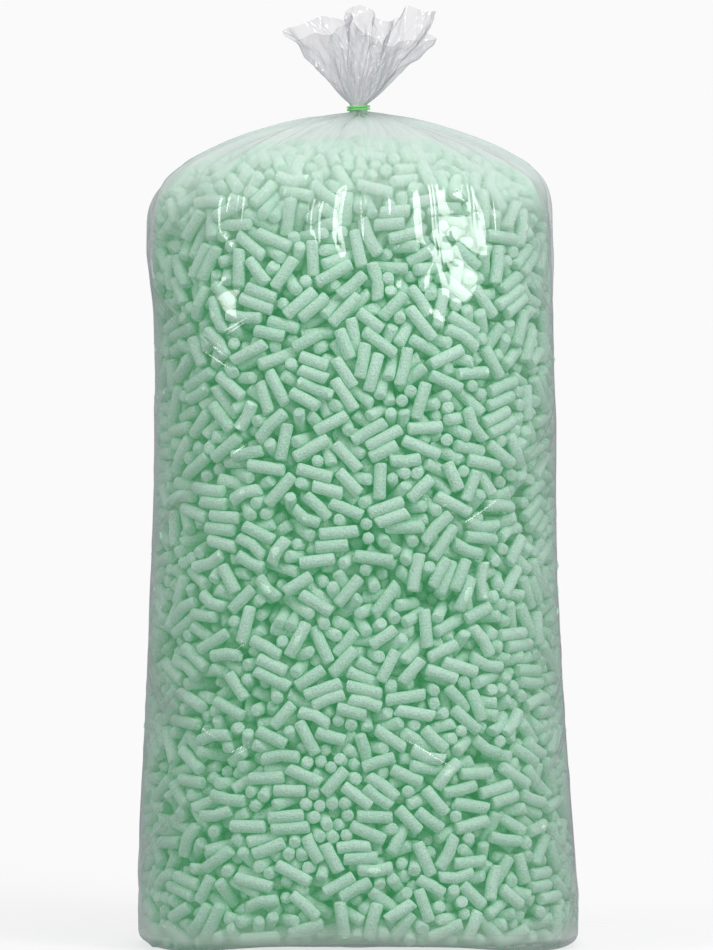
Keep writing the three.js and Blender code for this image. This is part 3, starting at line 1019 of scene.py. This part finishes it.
def film_material():
    material, nodes = new_material("clear film")
    links = material.node_tree.links
    creased = crease_group()

    def lines(attribute, stretch, sharpness, share):
        place = add_node(nodes, "ShaderNodeAttribute", attribute_name=attribute)
        node = add_node(
            nodes, "ShaderNodeGroup",
            {"Stretch": stretch, "Sharpness": sharpness, "Share": share},
            node_tree=creased,
        )
        wire(place, "Vector", node, "Place")
        return node.outputs["Height"]

    def combined(operation, first, second):
        node = add_node(nodes, "ShaderNodeMath", operation=operation)
        links.new(first, node.inputs[0])
        links.new(second, node.inputs[1])
        return node.outputs[0]

    def added(first, second):
        return combined("ADD", first, second)

    def times(first, second):
        return combined("MULTIPLY", first, second)

    def mask(name):
        node = add_node(nodes, "ShaderNodeAttribute", attribute_name=name)
        return node.outputs["Fac"]

    out = nodes.new("ShaderNodeOutputMaterial")
    clear = add_node(nodes, "ShaderNodeBsdfTransparent", {"Color": (0.970, 0.965, 0.978, 1.0)})
    near = nodes.new("ShaderNodeBsdfDiffuse")
    through = nodes.new("ShaderNodeBsdfTranslucent")
    haze = nodes.new("ShaderNodeMixShader")
    lit_from_behind = add_node(nodes, "ShaderNodeMapRange", {"To Min": 0.5, "To Max": 0.1})
    gloss = add_node(
        nodes, "ShaderNodeBsdfAnisotropic", {"Roughness": 0.06, "Color": (0.97, 0.97, 0.98, 1.0)},
    )
    edge = add_node(nodes, "ShaderNodeLayerWeight", {"Blend": 0.48})
    veil = add_node(nodes, "ShaderNodeMapRange", {"To Min": 0.025, "To Max": 0.38})
    bunched = add_node(nodes, "ShaderNodeMath", {1: 0.05}, operation="MULTIPLY_ADD")
    # At the foot the haze is also thicker: partly the folded film's own, partly a painted reflection of the
    # pale floor.
    folded = add_node(nodes, "ShaderNodeMath", {1: 0.30}, operation="MULTIPLY_ADD")
    drawn_up = add_node(nodes, "ShaderNodeMath", {1: 0.24}, operation="MULTIPLY_ADD")
    # The haze is grey where the film is seen edge on, and paler on the gathered shoulders and at the foot; at
    # the foot the paleness is partly the folded film's own haze and partly a painted reflection of the pale
    # floor under the curled-up base.
    pale = add_node(
        nodes, "ShaderNodeMix",
        {"A": (0.50, 0.51, 0.53, 1.0), "B": (0.84, 0.85, 0.86, 1.0)},
        data_type="RGBA",
    )
    links.new(added(mask("foot"), mask("shoulder")), pale.inputs["Factor"])
    wire(pale, "Result", near, "Color")
    wire(pale, "Result", through, "Color")
    # The thin sheet shines the same from either side.
    side = nodes.new("ShaderNodeNewGeometry")
    turned = add_node(nodes, "ShaderNodeMapRange", {"To Min": FILM_SHINE, "To Max": 1 / FILM_SHINE})
    shine = nodes.new("ShaderNodeFresnel")
    wire(side, "Backfacing", turned, "Value")
    wire(turned, "Result", shine, "IOR")
    milky = nodes.new("ShaderNodeMixShader")
    glossy = nodes.new("ShaderNodeMixShader")
    bump = add_node(nodes, "ShaderNodeBump", {"Strength": 1.0, "Distance": 0.0008})
    radial = added(
        times(mask("gathered"), lines("straight", (13.0, 13.0, 2.5), 1.5, 0.46)),
        times(mask("flared"), lines("slant_right", (10.0, 10.0, 16.0), 1.5, 0.42)),
    )
    slanted = added(
        lines("slant_left", (9.0, 9.0, 3.0), 2.5, 0.58),
        lines("slant_right", (8.0, 8.0, 3.4), 2.5, 0.60),
    )
    crossing = added(radial, times(mask("slack"), slanted))
    # The crease lines also pale the haze along them: a painted sheen where the creases would catch the light.
    haze_and_crease_sheen = add_node(nodes, "ShaderNodeMath", {1: 0.17}, operation="MULTIPLY_ADD")
    links.new(crossing, bump.inputs["Height"])
    links.new(crossing, haze_and_crease_sheen.inputs[0])
    wire(drawn_up, 0, haze_and_crease_sheen, 2)
    links.new(mask("foot"), lit_from_behind.inputs["Value"])
    wire(lit_from_behind, "Result", haze, "Fac")
    wire(bump, "Normal", gloss, "Normal")
    wire(bump, "Normal", shine, "Normal")
    wire(edge, "Facing", veil, "Value")
    links.new(mask("bunching"), bunched.inputs[0])
    wire(veil, "Result", bunched, 2)
    # Thicker haze at the foot: partly folded film, partly a painted reflection of the pale floor.
    links.new(mask("foot"), folded.inputs[0])
    wire(bunched, 0, folded, 2)
    links.new(mask("shoulder"), drawn_up.inputs[0])
    wire(folded, 0, drawn_up, 2)
    wire(haze_and_crease_sheen, 0, milky, "Fac")
    wire(near, 0, haze, 1)
    wire(through, 0, haze, 2)
    wire(clear, 0, milky, 1)
    wire(haze, 0, milky, 2)
    wire(shine, "Fac", glossy, "Fac")
    wire(milky, 0, glossy, 1)
    wire(gloss, 0, glossy, 2)
    wire(glossy, 0, out, "Surface")
    return material


def tie_material():
    material, nodes = new_material("green coated wire")
    out = nodes.new("ShaderNodeOutputMaterial")
    coat = add_node(nodes, "ShaderNodeBsdfPrincipled", {"Roughness": 0.35})
    place = nodes.new("ShaderNodeTexCoord")
    grain = add_node(nodes, "ShaderNodeTexNoise", {"Scale": 300.0})
    shades = colour_ramp(nodes, (0.0, (0.080, 0.480, 0.090)), (1.0, (0.260, 0.820, 0.240)))
    wire(place, "Object", grain, "Vector")
    wire(grain, "Fac", shades, "Fac")
    wire(shades, "Color", coat, "Base Color")
    wire(coat, 0, out, "Surface")
    return material


# ---------------------------------------------------------------- the bag

scene = bpy.context.scene
scene.view_settings.view_transform = "Standard"
scene.cycles.transparent_max_bounces = 20
scene.cycles.max_bounces = 6
scene.cycles.diffuse_bounces = 3
scene.cycles.glossy_bounces = 2
make_camera()
make_studio()
make_floor()

loose_nodes = sorted(name for name in frame["nodes"] if name.startswith("loose_peanut"))
loose_centres, loose_axes, loose_length = loose_places(loose_nodes)
loose_length = LOOSE_LENGTH_SHARE * loose_length
container = Container("peanut_fill", PEANUT_RADIUS)
centres, axes, length, inside = pack_peanuts(container, loose_centres, loose_axes, loose_length)
raised = lifted(centres)
foam = foam_material()
tree = scatter_tree()
outer_shapes = peanut_shapes("fine", 10)
inner_shapes = peanut_shapes("plain", 7)
core_shapes = peanut_shapes("core", 5)
outer = inside < OUTER_DEPTH
skin = inside < SKIN_DEPTH
half_way_up = np.median(centres[outer, 2])
lower = centres[:, 2] < half_way_up
peanut_pieces = []
for name, shapes, chosen in (
    ("peanuts_outer_lower", outer_shapes, outer & lower),
    ("peanuts_outer_upper", outer_shapes, outer & ~lower),
    ("peanuts_inner", inner_shapes, skin & ~outer),
    ("peanuts_core", core_shapes, ~skin),
):
    piece = lay_peanuts(name, tree, shapes, foam, raised[chosen], axes[chosen], length[chosen])
    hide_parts("peanut_fill")
    peanut_pieces.append(piece)
loose = lay_peanuts("peanuts_loose", tree, outer_shapes, foam, loose_centres, loose_axes, loose_length)
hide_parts(*loose_nodes)
for shapes in (outer_shapes, inner_shapes, core_shapes):
    for shape in list(shapes.objects):
        bpy.data.objects.remove(shape)
    bpy.data.collections.remove(shapes)

film = make_film(
    film_material(),
    np.vstack([centres[skin], loose_centres]),
    np.vstack([axes[skin], loose_axes]),
    np.concatenate([length[skin], loose_length]),
)

tie = frame["nodes"]["neck_tie"]
tie.data.materials.clear()
tie.data.materials.append(tie_material())
